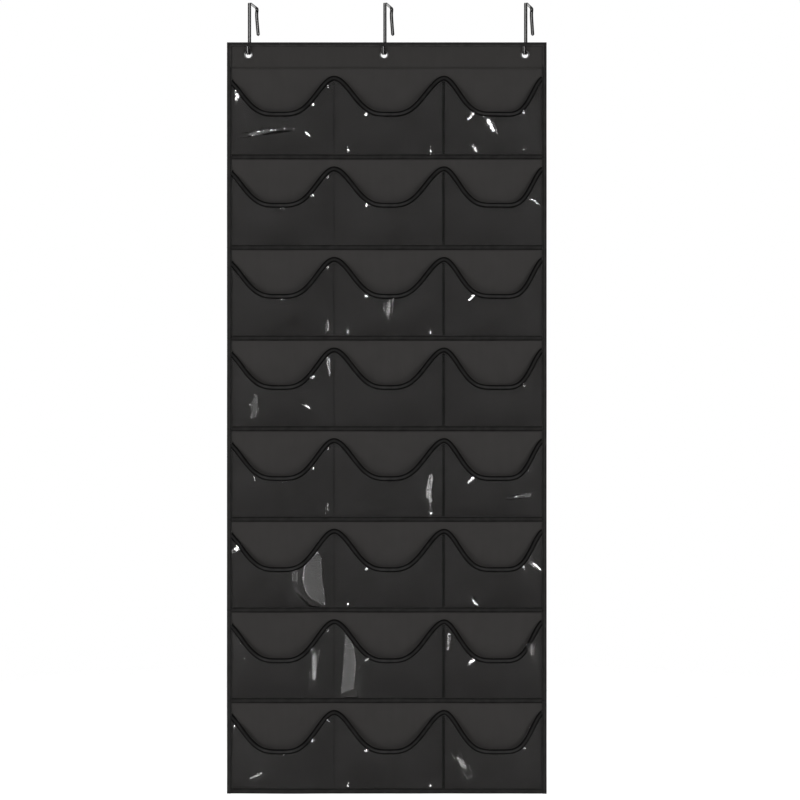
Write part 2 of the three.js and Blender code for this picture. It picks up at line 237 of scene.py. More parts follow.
def make_floor():
    work = bmesh.new()
    bmesh.ops.create_circle(work, cap_ends=True, segments=96, radius=FLOOR_RADIUS)
    mesh = bpy.data.meshes.new("floor")
    work.to_mesh(mesh)
    work.free()
    mesh.materials.append(floor_material())
    floor = bpy.data.objects.new("floor", mesh)
    bpy.context.collection.objects.link(floor)
    floor.location = (CENTRE_X, PANEL_Y, BOTTOM - FLOOR_DROP)


def make_studio():
    bpy.context.scene.view_settings.view_transform = "Standard"
    make_camera()
    make_world()
    make_floor()
    for name, settings in LIGHTS.items():
        area_light(name, *settings)


# ---- material building

def node(tree, kind, inputs=None, **settings):
    """A shader node with its settings and inputs."""
    made = tree.nodes.new("ShaderNode" + kind)
    for key, value in settings.items():
        setattr(made, key, value)
    for key, value in (inputs or {}).items():
        feed(tree, made.inputs[key], value)
    return made


def feed(tree, socket, value):
    """Sets an input to a value, to another node's socket or to the first output of a node."""
    if isinstance(value, bpy.types.Node):
        value = value.outputs[0]
    if isinstance(value, bpy.types.NodeSocket):
        tree.links.new(value, socket)
    elif socket.type == "RGBA":
        socket.default_value = (*value, 1)
    else:
        socket.default_value = value


def blank_material(name):
    material = bpy.data.materials.new(name)
    material.use_nodes = True
    tree = material.node_tree
    tree.nodes.clear()
    return material, tree


def finished(material, tree, shader):
    node(tree, "OutputMaterial", {"Surface": shader})
    return material


def principled(material, tree, inputs):
    return finished(material, tree, node(tree, "BsdfPrincipled", inputs))


def grey(level):
    return (level, level, level)


def worked_out(tree, operation, *values):
    return node(tree, "Math", dict(enumerate(values)), operation=operation)


def total(tree, *weighted):
    """The sum of (value, weight) pairs."""
    parts = [worked_out(tree, "MULTIPLY", value, weight) for value, weight in weighted]
    result = parts[0]
    for part in parts[1:]:
        result = worked_out(tree, "ADD", result, part)
    return result


def mixed_colour(tree, factor, low, high):
    made = node(tree, "Mix", {"Factor": factor}, data_type="RGBA")
    feed(tree, made.inputs["A"], low)
    feed(tree, made.inputs["B"], high)
    return made.outputs["Result"]


def sewn_place(tree):
    """The UV in metres, and how far it is across its tape."""
    metres = node(tree, "UVMap")
    return metres, node(tree, "SeparateXYZ", {0: metres}).outputs["Y"]


def noise(tree, vector, scale, detail=3.0, roughness=0.5):
    return node(tree, "TexNoise", {"Vector": vector, "Scale": scale, "Detail": detail,
                                   "Roughness": roughness}).outputs["Fac"]


def stretched(tree, vector, scale, turn=0.0):
    return node(tree, "Mapping",
                {"Vector": vector, "Scale": scale, "Rotation": (0, 0, math.radians(turn))})


def ramp(tree, value, low, high, to_low=0.0, to_high=1.0, **settings):
    return node(tree, "MapRange", {"Value": value, "From Min": low, "From Max": high,
                                   "To Min": to_low, "To Max": to_high}, **settings)


def bump(tree, height, strength, distance):
    return node(tree, "Bump", {"Height": height, "Strength": strength, "Distance": distance})


# ---- materials

def fabric_material(name, colour, lighter):
    """Spun-bonded non-woven: fine fibres under a grid of small pressed dots, slightly cloudy."""
    material, tree = blank_material(name)
    metres = node(tree, "UVMap")
    dots = node(tree, "TexVoronoi", {"Vector": stretched(tree, metres, (620, 620, 1), 45),
                                     "Scale": 1.0, "Randomness": 0.12})
    dot = ramp(tree, dots.outputs["Distance"], 0.22, 0.42)
    fibres = noise(tree, metres, 2600.0, 4.0, 0.7)
    clouds = noise(tree, metres, 22.0, 4.0, 0.55)
    streaks = noise(tree, stretched(tree, metres, (90, 9, 1)), 1.0)
    tone = total(tree, (clouds, 0.5), (streaks, 0.25), (fibres, 0.25))
    height = total(tree, (dot, 0.7), (fibres, 0.6))
    return principled(material, tree, {
        "Base Color": mixed_colour(tree, tone, colour, lighter), "Roughness": 0.9,
        "Specular IOR Level": 0.06, "Sheen Weight": 0.05, "Sheen Roughness": 0.5,
        "Normal": bump(tree, height, 0.6, 0.12 * MM)})


def tape_cloth(material, tree, metres, banded, fluff, fluffiness, height, strength, rise):
    """Dull tape in the banded colour, which patches and fluff make uneven."""
    level = total(tree, (noise(tree, metres, 60.0, 3.0, 0.5), 0.9), (fluff, fluffiness))
    shade = node(tree, "VectorMath", {0: banded, 3: level}, operation="SCALE")
    return principled(material, tree, {
        "Base Color": shade, "Roughness": 0.85, "Specular IOR Level": 0,
        "Normal": bump(tree, height, strength, rise)})


def tape_material(name, groove_at, crown, worn_and_highlit, groove_shade, lip):
    """Folded twill tape: V of its UV is the distance across from its middle. The stitched
    grooves and the lips outside them are coloured darker as painted shade, and the crown between
    them is painted lighter, a painted highlight, where the tape's attribute says so."""
    material, tree = blank_material(name)
    metres, across = sewn_place(tree)
    distance = worked_out(tree, "ABSOLUTE", across)
    # painted shade: the grooves, and the lips beyond them, are coloured darker than the crown
    into_groove = ramp(tree, distance, 0.45 * groove_at, 0.92 * groove_at)
    past_groove = ramp(tree, distance, 1.05 * groove_at, 1.3 * groove_at)
    # painted highlight: the crown turns to the lighter colour where the attribute is high
    wear = node(tree, "Attribute", attribute_name="wear").outputs["Fac"]
    inside = mixed_colour(tree, into_groove, mixed_colour(tree, wear, crown, worn_and_highlit), groove_shade)
    banded = mixed_colour(tree, past_groove, inside, lip)
    fluff = noise(tree, metres, 1800.0, 3.0, 0.65)
    rib = node(tree, "TexWave", {"Vector": stretched(tree, metres, (1500, 1500, 1), 38),
                                 "Scale": 0.16, "Distortion": 0.6, "Detail": 1.0}).outputs["Fac"]
    height = total(tree, (rib, 0.6), (fluff, 0.5))
    return tape_cloth(material, tree, metres, banded, fluff, 0.7, height, 0.5, 0.15 * MM)


def edge_tape_material(name, seam_at, cloth, fold, seam):
    """Tape folded round an edge: V of its UV runs from its outer fold, which is coloured dark,
    past the line of stitches to its inner edge."""
    material, tree = blank_material(name)
    metres, across = sewn_place(tree)
    off_seam = worked_out(tree, "ABSOLUTE", worked_out(tree, "SUBTRACT", across, seam_at))
    folded = ramp(tree, across, -0.16 * EDGE_TAPE, -0.36 * EDGE_TAPE)
    sewn = ramp(tree, off_seam, 1.3 * MM, 0.3 * MM)
    banded = mixed_colour(tree, folded, mixed_colour(tree, sewn, cloth, seam), fold)
    fluff = noise(tree, metres, 1800.0, 3.0, 0.65)
    return tape_cloth(material, tree, metres, banded, fluff, 0.9, fluff, 0.4, 0.12 * MM)


def thread_material(name, colour, lighter):
    """Twisted polyester thread."""
    material, tree = blank_material(name)
    place = node(tree, "TexCoord").outputs["Object"]
    twist = noise(tree, place, 3500.0, 2.0)
    return principled(material, tree, {
        "Base Color": mixed_colour(tree, twist, colour, lighter), "Roughness": 0.7,
        "Specular IOR Level": 0, "Normal": bump(tree, twist, 0.5, 0.05 * MM)})


def film_material(name):
    """Clear soft PVC: mostly see-through and slightly smoky, with a gloss that strengthens at a
    slant, faint ripples from rolling and smears from handling."""
    material, tree = blank_material(name)
    metres = node(tree, "UVMap")
    ripple = noise(tree, metres, 40.0, 2.0, 0.4)
    smears = noise(tree, metres, 14.0, 3.0, 0.6)
    normal = bump(tree, ripple, 0.25, 0.5 * MM)
    roughness = ramp(tree, smears, 0.0, 1.0, 0.04, 0.12)
    haze = ramp(tree, smears, 0.3, 0.8, 0.0, 0.013)
    clear = node(tree, "BsdfTransparent", {"Color": grey(0.94)})
    cloudy = node(tree, "BsdfDiffuse", {"Color": (0.5, 0.5, 0.51), "Normal": normal})
    body = node(tree, "MixShader", {0: haze, 1: clear, 2: cloudy})
    gloss = node(tree, "BsdfGlossy", {"Roughness": roughness, "Normal": normal})
    share = node(tree, "Fresnel", {"IOR": 1.2, "Normal": normal})
    return finished(material, tree, node(tree, "MixShader", {0: share, 1: body, 2: gloss}))


def metal_material(name, colour, worn_and_highlit, roughness, metallic):
    """Metal with faint drawing marks, fingerprints and a worn tone on its edges."""
    material, tree = blank_material(name)
    place = node(tree, "TexCoord").outputs["Object"]
    marks = noise(tree, stretched(tree, place, (1, 1, 0.05)), 2400.0, 2.0)
    prints = noise(tree, place, 120.0, 3.0, 0.6)
    pointed = node(tree, "NewGeometry").outputs["Pointiness"]
    edge = worked_out(tree, "MULTIPLY", ramp(tree, pointed, 0.52, 0.6), prints)
    return principled(material, tree, {
        "Base Color": mixed_colour(tree, edge, colour, worn_and_highlit), "Metallic": metallic,
        "Roughness": ramp(tree, prints, 0.0, 1.0, 0.7 * roughness, 1.5 * roughness),
        "Normal": bump(tree, marks, 0.15, 0.02 * MM)})


def strip_material(name, polished, dark_reflection):
    """Rolled steel strip. Its UV is (distance from the nearer end, distance from the middle of
    its width): the middle is polished, and the sheared edges and ends are painted black, a
    painted dark reflection for the rounded edges."""
    material, tree = blank_material(name)
    metres = node(tree, "UVMap")
    parts = node(tree, "SeparateXYZ", {0: metres})
    across = worked_out(tree, "ABSOLUTE", parts.outputs["Y"])
    marks = noise(tree, stretched(tree, metres, (60, 3000, 1)), 1.0, 3.0)
    uneven = total(tree, (across, 1.0), (marks, 0.5 * MM))
    sheared = ramp(tree, uneven, 0.5 * MM, 1.1 * MM)
    ended = ramp(tree, parts.outputs["X"], 2.6 * MM, 1.0 * MM)
    # painted dark reflection: the edges and ends of the strip are coloured black
    black = worked_out(tree, "MAXIMUM", sheared, ended)
    return principled(material, tree, {
        "Base Color": mixed_colour(tree, black, polished, dark_reflection), "Metallic": 0.9,
        "Specular IOR Level": 0.2, "Roughness": ramp(tree, marks, 0.0, 1.0, 0.06, 0.14),
        "Normal": bump(tree, marks, 0.1, 0.02 * MM)})


FABRIC = fabric_material("nonwoven_black", (0.0270, 0.0252, 0.0241), (0.0418, 0.0397, 0.0383))
FACING = fabric_material("nonwoven_header", (0.0242, 0.0226, 0.0214), (0.0373, 0.0355, 0.0339))
# Each tape's groove and lip colours are painted shade; the mouth tape's second crown colour is a
# painted highlight for the bottoms of the scallops.
MOUTH_TAPE = tape_material("mouth_tape_black", MOUTH_GROOVE,
                           crown=(0.023, 0.0225, 0.022), worn_and_highlit=(0.038, 0.037, 0.0365),
                           groove_shade=grey(0.003), lip=(0.0095, 0.009, 0.009))
HEM_TAPE = tape_material("hem_tape_black", HEM_GROOVE,
                         crown=(0.028, 0.027, 0.0265), worn_and_highlit=(0.028, 0.027, 0.0265),
                         groove_shade=(0.020, 0.0195, 0.019), lip=(0.024, 0.0235, 0.023))
EDGE_TAPE_FINISH = edge_tape_material("edge_tape_black", EDGE_SEAM, cloth=(0.031, 0.030, 0.0295),
                                      fold=grey(0.004), seam=(0.023, 0.0225, 0.022))
HEADER_TAPE = edge_tape_material("header_tape_black", 0, cloth=(0.041, 0.0395, 0.0385),
                                 fold=grey(0.004), seam=(0.029, 0.0285, 0.028))
THREAD = thread_material("thread_black", grey(0.0025), grey(0.008))
FILM = film_material("clear_pvc_film")
# the hook's second colour is the painted dark reflection on its edges and ends
HOOK_METAL = strip_material("hook_steel", (0.60, 0.595, 0.59), grey(0.006))
EYELET_METAL = metal_material("eyelet_black", grey(0.010), worn_and_highlit=grey(0.08), roughness=0.45,
                              metallic=0.3)


# ---- mesh building

LATHE_STEPS = 64


def make_object(name, points, faces, material, uv=None):
    """An object from points, faces of any length, and a UV in metres for each point."""
    mesh = bpy.data.meshes.new(name)
    mesh.from_pydata(np.asarray(points).tolist(), [], faces)
    if uv is not None:
        layer = mesh.uv_layers.new(name="metres")
        corners = np.empty(len(mesh.loops), np.int32)
        mesh.loops.foreach_get("vertex_index", corners)
        layer.data.foreach_set("uv", np.asarray(uv, np.float32)[corners].ravel())
    mesh.polygons.foreach_set("use_smooth", np.ones(len(mesh.polygons), bool))
    mesh.materials.append(material)
    made = bpy.data.objects.new(name, mesh)
    bpy.context.collection.objects.link(made)
    return made


def face_outwards(made):
    work = bmesh.new()
    work.from_mesh(made.data)
    bmesh.ops.recalc_face_normals(work, faces=work.faces)
    work.to_mesh(made.data)
    work.free()


def grid_sheet(name, across, up, lift, thickness, material):
    """A closed sheet over every pair of across (x) and up (z). Its front is lift in front of the
    panel's middle."""
    x, z = (axis.ravel() for axis in np.meshgrid(across, up, indexing="ij"))
    index = np.arange(len(x)).reshape(len(across), len(up))
    quads = np.stack([index[:-1, :-1], index[1:, :-1], index[1:, 1:], index[:-1, 1:]], -1)
    rim = np.concatenate([index[:-1, 0], index[-1, :-1], index[:0:-1, -1], index[0, :0:-1]])
    return closed_sheet(name, x, z, quads.reshape(-1, 4).tolist(), [rim], lift, thickness, material)


def cut_sheet(name, outline, holes, inner, lift, thickness, material):
    """A closed sheet inside an outline, less its holes, with extra points for its relief."""
    loops = [np.asarray(outline)] + [np.asarray(hole) for hole in holes]
    points = np.concatenate(loops + [np.asarray(inner)])
    edges, first = [], 0
    for loop in loops:
        last = first + len(loop)
        edges += [(i, i + 1 if i + 1 < last else first) for i in range(first, last)]
        first = last
    flat = [Vector(point) for point in points]
    verts, _, faces, _, _, _ = delaunay_2d_cdt(flat, edges, [], 1, 1e-7, False)
    spots = np.array(verts)
    faces = np.array(faces)
    faces = faces[inside(loops, spots[faces].mean(axis=1))].tolist()
    rims = trace_rims({edge for a, b, c in faces for edge in ((a, b), (b, c), (c, a))})
    return closed_sheet(name, spots[:, 0], spots[:, 1], faces, rims, lift, thickness, material)


def inside(loops, spots):
    """Which spots are inside the outline and outside its holes."""
    x, z = spots[:, 0], spots[:, 1]
    odd = np.zeros(len(spots), bool)
    for loop in loops:
        for (x1, z1), (x2, z2) in zip(loop, np.roll(loop, -1, axis=0)):
            if z1 != z2:
                odd ^= ((z1 > z) != (z2 > z)) & (x < x1 + (z - z1) * (x2 - x1) / (z2 - z1))
    return odd


def trace_rims(edges):
    """Closed loops of the edges that have a face on one side only."""
    follow = {a: b for a, b in edges if (b, a) not in edges}
    rims = []
    while follow:
        start, current = follow.popitem()
        rim = [start]
        while current != start:
            rim.append(current)
            current = follow.pop(current)
        rims.append(np.array(rim))
    return rims


def closed_sheet(name, x, z, faces, rims, lift, thickness, material):
    """Front faces at the lifted distance, back faces a thickness behind, and rims between.
    The faces run anticlockwise as seen from the front."""
    front = PANEL_Y - lift(x, z)
    count = len(x)
    points = np.concatenate([np.stack([x, front, z], -1), np.stack([x, front + thickness, z], -1)])
    every = faces + [[i + count for i in face[::-1]] for face in faces]
    for rim in rims:
        ahead = np.roll(rim, -1)
        every += np.stack([ahead, rim, rim + count, ahead + count], -1).tolist()
    uv = np.stack([x, z], -1)
    return make_object(name, points, every, material, np.concatenate([uv, uv]))


def unit(rows):
    return rows / np.linalg.norm(rows, axis=1)[:, None]


def forwards(count):
    """The direction to the front, for that many points."""
    return np.tile([0.0, -1.0, 0.0], (count, 1))


def distances(path):
    """Distance of each point of the path from its start."""
    return np.concatenate([[0], np.cumsum(np.linalg.norm(np.diff(path, axis=0), axis=1))])


def sweep(name, path, side, normal, section, material, closed=False, scale=None, along=None):
    """A closed tube: section points (along side, along normal) carried along the path, with the
    side sizes scaled at each step. Its UV is the distance along the path and along side."""
    path, side, normal, section = (np.asarray(a, float) for a in (path, side, normal, section))
    steps, corners = len(path), len(section)
    scale = np.ones(steps) if scale is None else scale
    points = (path[:, None] + side[:, None] * section[None, :, :1] * scale[:, None, None]
              + normal[:, None] * section[None, :, 1:]).reshape(-1, 3)
    along = distances(path) if along is None else along
    uv = np.stack(np.meshgrid(along, section[:, 0], indexing="ij"), -1).reshape(-1, 2)
    index = np.arange(steps * corners).reshape(steps, corners)
    ahead, beyond = np.roll(index, -1, axis=1), np.roll(index, -1, axis=0)
    beyond_ahead = np.roll(ahead, -1, axis=0)
    last = steps if closed else steps - 1
    faces = np.stack([index, beyond, beyond_ahead, ahead], -1)[:last].reshape(-1, 4).tolist()
    if not closed:
        faces += [index[0].tolist(), index[-1][::-1].tolist()]
    made = make_object(name, points, faces, material, uv)
    face_outwards(made)
    return made


def lathe(name, centre, profile, material):
    """A ring about the front-to-back line through centre; profile points are (radius, front)."""
    turn = np.linspace(0, 2 * np.pi, LATHE_STEPS, endpoint=False)
    radial = np.stack([np.cos(turn), 0 * turn, np.sin(turn)], -1)
    path = np.tile(np.array(centre), (LATHE_STEPS, 1))
    return sweep(name, path, radial, forwards(LATHE_STEPS), profile, material, closed=True)


STITCH_LENGTH = 2.6 * MM
STITCH_PITCH = 3.5 * MM
THREAD_RADIUS = 0.3 * MM
# thick dark thread for the right divider, whose band of stitches stands in for the shade along that
# seam (painted shade)
SHADE_BAND_THREAD_RADIUS = 0.55 * MM
THREAD_SIDES = 4


class Stitching:
    """Stitches along seams, made one mesh: each is a short thread with its ends in the cloth."""

    def __init__(self):
        self.points = []
        self.faces = []

    def along(self, line, normals, radius=THREAD_RADIUS):
        line, normals = np.asarray(line, float), np.asarray(normals, float)
        distance = distances(line)
        for start in np.arange(STITCH_PITCH / 2, distance[-1] - STITCH_LENGTH, STITCH_PITCH):
            spots = start + STITCH_LENGTH * np.array([0.0, 0.22, 0.78, 1.0])
            middle = np.stack([np.interp(spots, distance, line[:, i]) for i in range(3)], -1)
            up = np.stack([np.interp(spots, distance, normals[:, i]) for i in range(3)], -1)
            self.add(middle, up, radius)

    def add(self, middle, up, radius):
        first = len(self.points)
        across = np.cross(middle[-1] - middle[0], up[1])
        across /= np.linalg.norm(across)
        self.points.append(middle[0] - up[0] * radius)
        for ring in (1, 2):
            for turn in range(THREAD_SIDES):
                angle = 2 * math.pi * turn / THREAD_SIDES
                flat, high = 1.15 * math.cos(angle), 0.75 * math.sin(angle) + 0.3
                self.points.append(middle[ring] + radius * (flat * across + high * up[ring]))
        last = len(self.points)
        self.points.append(middle[3] - up[3] * radius)
        for turn in range(THREAD_SIDES):
            a, b = first + 1 + turn, first + 1 + (turn + 1) % THREAD_SIDES
            c, d = b + THREAD_SIDES, a + THREAD_SIDES
            self.faces += [(first, b, a), (a, b, c, d), (d, c, last)]

    def build(self, name, body):
        made = make_object(name, self.points, self.faces, THREAD)
        face_outwards(made)
        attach(made, body)


# ---- how the panel hangs

def smooth(low, high, value):
    share = np.clip((value - low) / (high - low), 0, 1)
    return share * share * (3 - 2 * share)


def pocket_share(x):
    """How far x is across its pocket, from 0 at its left edge to 1 at its right edge."""
    share = np.zeros_like(x)
    for left, right in POCKETS:
        here = (x > left) & (x <= right)
        share = np.where(here, (x - left) / (right - left), share)
    return share


def pocket_number(x):
    return np.searchsorted([right for _, right in POCKETS], x)


def row_share(z):
    """How far z is down its row, from 0 at the seam at its top."""
    return np.clip((row_top(1) - z) / ROW_HEIGHT, 0, ROWS) % 1.0


def hang(x, z):
    """Soft waves of the whole panel and a slight fullness between the seams of each pocket."""
    wave = (0.6 * np.sin(2 * np.pi * (x / 0.43 + z / 0.95) + 0.7)
            + 0.4 * np.sin(2 * np.pi * (x / 0.27 - z / 0.41) + 2.1)
            + 0.2 * np.sin(2 * np.pi * (x / 0.12 + z / 0.19) + 4.0))
    fullness = 3.5 * np.sin(np.pi * pocket_share(x)) * np.sin(np.pi * row_share(z)) ** 0.7
    return MM * (wave + fullness) * smooth(0, 0.4 * ROW_HEIGHT, row_top(1) - z)


def mouth_drop(x):
    """How far the film's scalloped top edge is below the seam at the top of its row."""
    drop = np.full_like(x, PEAK_DROP)
    for (left, right), (valley, reach_left, reach_right, power) in zip(POCKETS, SCALLOPS):
        here = (x >= left) & (x <= right)
        from_valley = (x - left) / (right - left) - valley
        reach = np.where(from_valley < 0, reach_left, reach_right)
        share = np.minimum(1, np.abs(from_valley) / reach)
        scallop = 1 - np.sin(np.pi / 2 * share) ** power
        drop = np.where(here, PEAK_DROP + (VALLEY_DROP - PEAK_DROP) * scallop, drop)
    return drop


def mouth_height(x, row):
    return row_top(row) - mouth_drop(np.clip(x, POCKET_LEFT, POCKET_RIGHT))


# ---- the film's relief

FILM_STEP = (3.0 if FINE else 5) * MM
CREASE_STEP = 1 if FINE else 1.6
POCKET_BULGE = 13 * MM
FILL_HEIGHT = 85 * MM    # above the hem, where the pocket is at its deepest
PLEAT_INSET = 27 * MM    # each pocket has a small pleat this far from its dividers

# Creases that show as a fleck or a streak of light: x from the panel's middle and drop below the
# row's seam in mm, turn of the streak from upright in degrees, its length and width in mm, the
# light that it shows, and the rows that have it.
CREASES = [
    (-139, 68, -50, 7, 5, "right lamp", 1, 2, 4, 5, 7, 8),
    (-110, 33, 60, 7, 4, "right strip", 1, 2, 3, 5, 7, 8),
    (-38, 87, 68, 8, 5, "left lamp", 1, 2, 3, 6, 7, 8),
    (158, 90, 42, 18, 6, "left lamp", 1, 3, 5, 7),
    (-193, 94, 80, 7, 4, "right softbox", 2, 3, 5, 8),
    (257, 84, -45, 8, 4, "right strip", 1, 4, 6, 8),
    (-73, 154, 0, 10, 4, "left lamp", 1, 3, 6, 8),
    (82, 154, -5, 9, 4, "right lamp", 1, 3, 5, 8),
    (166, 152, -33, 20, 6, "right lamp", 1, 6),
    (257, 151, 60, 6, 4, "right lamp", 1),
    (-110, 143, 8, 22, 5, "right strip", 3, 5),
    (-148, 124, -40, 15, 5.5, "right lamp", 1, 4),
    (-281, 48, 42, 22, 11, "left lamp", 1, 6),
    (194, 108, -28, 30, 8, "right lamp", 1),
    (-244, 122, 85, 94, 5, "left softbox", 1),
    (280, 81, -65, 34, 3, "right strip", 2),
    (3, 111, 10, 38, 9, "left strip", 3),
    (-108, 48, -12, 38, 9, "right strip", 4),
    (-248, 125, 5, 34, 9, "left softbox", 4),
    (-247, 84, 0, 15, 3, "left strip", 5),
    (80, 107, 8, 50, 12, "right strip", 5),
    (263, 120, 82, 58, 5, "right softbox", 5),
    (-127, 113, -22, 88, 44, "right softbox", 6),
    (283, 85, -52, 33, 5, "right lamp", 6),
    (-136, 104, 8, 58, 9, "right strip", 7),
    (-75, 103, -6, 115, 26, "left softbox", 7),
    (115, 54, 10, 36, 8, "left strip", 7),
    (-285, 43, 25, 13, 4, "left lamp", 8),
    (-276, 41, 25, 11, 4, "left lamp", 8),
    (141, 112, -28, 44, 11, "left strip", 8),
    (-244, 134, 62, 32, 7, "left strip", 8),
]


class Crease:
    """One crease in one row: a flat facet that shows its light, with a soft step round it."""

    def __init__(self, row, x, drop, turn, length, width, light):
        self.x = CENTRE_X + x * MM
        self.z = row_top(row) - drop * MM
        angle = math.radians(turn)
        self.along = (math.sin(angle), math.cos(angle))
        self.length, self.width = length * MM, width * MM
        self.front = film_shape(np.array([self.x]), np.array([self.z]), row)[0]
        self.slope = wanted_slope(Vector((self.x, PANEL_Y - self.front, self.z)), light)

    def relief(self, x, z, shape):
        """What turns the film's shape into the facet."""
        dx, dz = x - self.x, z - self.z
        wobble = 0.12 * self.width * np.sin(dz / (0.2 * self.length) + self.x / MM)
        t = (dx * self.along[0] + dz * self.along[1]) / (0.64 * self.length)
        narrowed = 0.85 * self.width * (1 - 0.35 * np.minimum(t ** 2, 1.2))
        s = (dx * self.along[1] - dz * self.along[0] + wobble) / narrowed
        window = np.exp(-s ** 6 - t ** 6) * (pocket_number(x) == pocket_number(self.x))
        facet = self.front + self.slope[0] * dx + self.slope[1] * dz
        return (facet - shape) * window

    def net(self):
        """Close points over the crease."""
        step = min(3, max(0.6, 0.12 * self.width / MM)) * MM * CREASE_STEP
        reach_along, reach_across = 0.8 * self.length, 1.2 * self.width
        spots = net(-reach_across, reach_across, -reach_along, reach_along, step)
        x = self.x + spots[:, 0] * self.along[1] + spots[:, 1] * self.along[0]
        z = self.z - spots[:, 0] * self.along[0] + spots[:, 1] * self.along[1]
        return np.stack([x, z], -1)


def creases_of(row):
    return [Crease(row, *crease[:6]) for crease in CREASES if row in crease[6:]]


def film_shape(x, z, row):
    """Distance of the film's front before the panel's middle, without its sharp creases."""
    share = pocket_share(x)
    height = np.clip((z - hem_top(row)) / FILL_HEIGHT, 0, 1)
    rise = 1 - (1 - height) ** 2.2
    bulge = POCKET_BULGE * np.sin(np.pi * share) ** 1.2 * rise
    slack = np.sin(np.pi * share) * smooth(0, 0.3, height)
    ripple = (0.25 * np.sin(2 * np.pi * (x / 0.041 + z / 0.13) + row)
              + 0.2 * np.sin(2 * np.pi * (x / 0.067 - z / 0.045) + 2.3 * row)
              + 0.06 * np.sin(2 * np.pi * (x / 0.019 + z / 0.052) + 1.7 * row))
    return FILM_BASE + bulge + MM * slack * ripple + pleats(x, z, row) + hang(x, z)


def pleats(x, z, row):
    """Small folds that stand up from the hem, near both ends of each pocket."""
    height = z - hem_top(row)
    fade = smooth(-4 * MM, 2 * MM, height) * (1 - smooth(10 * MM, 46 * MM, height))
    relief = np.zeros_like(x)
    for left, right in POCKETS:
        for foot, lean in ((left + PLEAT_INSET, 0.10), (right - PLEAT_INSET, -0.10)):
            off = x - foot - lean * height
            relief = relief + np.exp(-(off / (2.2 * MM)) ** 2)
    return 0.9 * MM * fade * relief


def loose(x, z, row):
    """0 where the film is sewn down and 1 away from there."""
    share, height = pocket_share(x), z - hem_top(row)
    from_seam = np.minimum(np.minimum(share, 1 - share) * WIDTH / 3, height)
    return smooth(0, 4 * MM, from_seam)


def wanted_slope(place, light):
    """Slopes in x and z of a surface at place that shows the light to the front view. Of the
    light's height it shows the part that an upright surface would show, or the nearest one."""
    offset, size, _, _ = LIGHTS[light]
    middle = PANEL_MIDDLE + Vector(offset)
    share = (middle.y - place.y) / (CAMERA_PLACE.y - place.y)
    upright = place.z + share * (place.z - CAMERA_PLACE.z)
    reach = 0.4 * size[1]
    height = min(max(upright, middle.z - reach), middle.z + reach)
    to_light = Vector((middle.x, middle.y, height)) - place
    facing = (CAMERA_PLACE - place).normalized() + to_light.normalized()
    return facing.x / facing.y, facing.z / facing.y


def film_lift(row, creases):
    """The film's relief with its creases, as a function of x and z."""
    def lift(x, z):
        shape = film_shape(x, z, row)
        relief = sum(crease.relief(x, z, shape) for crease in creases)
        height = shape + relief * loose(x, z, row)
        return np.maximum(height, FILM_BASE + hang(x, z))

    return lift


def film_points(row, creases):
    """Points for the film's relief: an even net, and a denser one over each crease."""
    top, margin = row_top(row), 1.5 * MM
    nets = [net(LEFT + 3 * MM, RIGHT - 3 * MM, top - ROW_HEIGHT + 2 * MM, top - PEAK_DROP,
                FILM_STEP)]
    points = np.concatenate(nets + [crease.net() for crease in creases])
    x, z = points[:, 0], points[:, 1]
    low, high = top - ROW_HEIGHT + margin, mouth_height(x, row) - margin
    side_margin = FILM_INSET + margin
    kept = (x > LEFT + side_margin) & (x < RIGHT - side_margin) & (z > low) & (z < high)
    return points[kept]


def net(x_low, x_high, z_low, z_high, step):
    """A triangular net of points."""
    columns = np.arange(x_low, x_high, step)
    levels = np.arange(z_low, z_high, 0.87 * step)
    x, z = np.meshgrid(columns, levels, indexing="ij")
    x = x + 0.5 * step * (np.arange(len(levels)) % 2)
    return np.stack([x.ravel(), z.ravel()], -1)


# ---- fabric and film

def join_rows(made):
    """Bakes the piece's placement into its mesh."""
    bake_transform(made)


def row_levels(row, step):
    """Heights down a piece of a row: close together at its fold, then about a step apart."""
    fold = fold_height(row)
    bottom = BOTTOM if row == ROWS else fold_height(row + 1) + FOLD_OVERLAP
    bend = np.arange(fold + FOLD_OVERLAP, fold - FOLD_OVERLAP - 0.5 * MM, -1.0 * MM)
    rest = np.linspace(bend[-1], bottom, int((bend[-1] - bottom) / step) + 1)
    return np.concatenate([bend, rest[1:]])


def backing_lift(x, z):
    return FABRIC_HALF + hang(x, z)


def make_backing(row):
    levels = row_levels(row, 5 * MM)[::-1]
    across = np.linspace(LEFT + CLOTH_INSET, RIGHT - CLOTH_INSET, 121)
    made = grid_sheet(f"backing_{row}", across, levels, backing_lift, 2 * FABRIC_HALF, FABRIC)
    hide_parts(f"row_{row}_backing")
    join_rows(made)


def make_film(row):
    step = 2 * MM if FINE else 4 * MM
    left, right = LEFT + FILM_INSET, RIGHT - FILM_INSET
    low = row_top(row) - ROW_HEIGHT + 0.5 * MM
    x = np.linspace(left, right, int(WIDTH / step))
    mouth = mouth_height(x, row)
    bottom = np.stack([x, np.full_like(x, low)], -1)
    top = np.stack([x, mouth], -1)[::-1]
    creases = creases_of(row)
    lift = film_lift(row, creases)
    made = cut_sheet(f"pocket_film_{row}", np.concatenate([bottom, top]), [],
                     film_points(row, creases), lift, FILM_THICKNESS, FILM)
    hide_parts(f"row_{row}_pocket_strip")
    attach(made, f"row_{row}")
    return lift


# ---- tapes

MOUTH_LEAN = 0.3         # most that the mouth's tape leans with the film, as a slope


def padded_band(back, crown, groove_at, groove_depth):
    """Section of a tape over a seam: crowned front with two stitched grooves, flat back."""
    half = HEM_HEIGHT / 2
    across = np.linspace(-half, half, 27)
    height = crown * (1 - (across / half) ** 2) + 0.45 * MM
    for side in (-1, 1):
        height = height - groove_depth * np.exp(-((across - side * groove_at) / (0.55 * MM)) ** 2)
    front = np.stack([across, np.maximum(height, 0.2 * MM)], -1)
    front[0, 1] = front[-1, 1] = 0.15 * MM
    rear = [(half - 0.4 * MM, back), (0, back), (-half + 0.4 * MM, back)]
    return np.concatenate([front, rear])


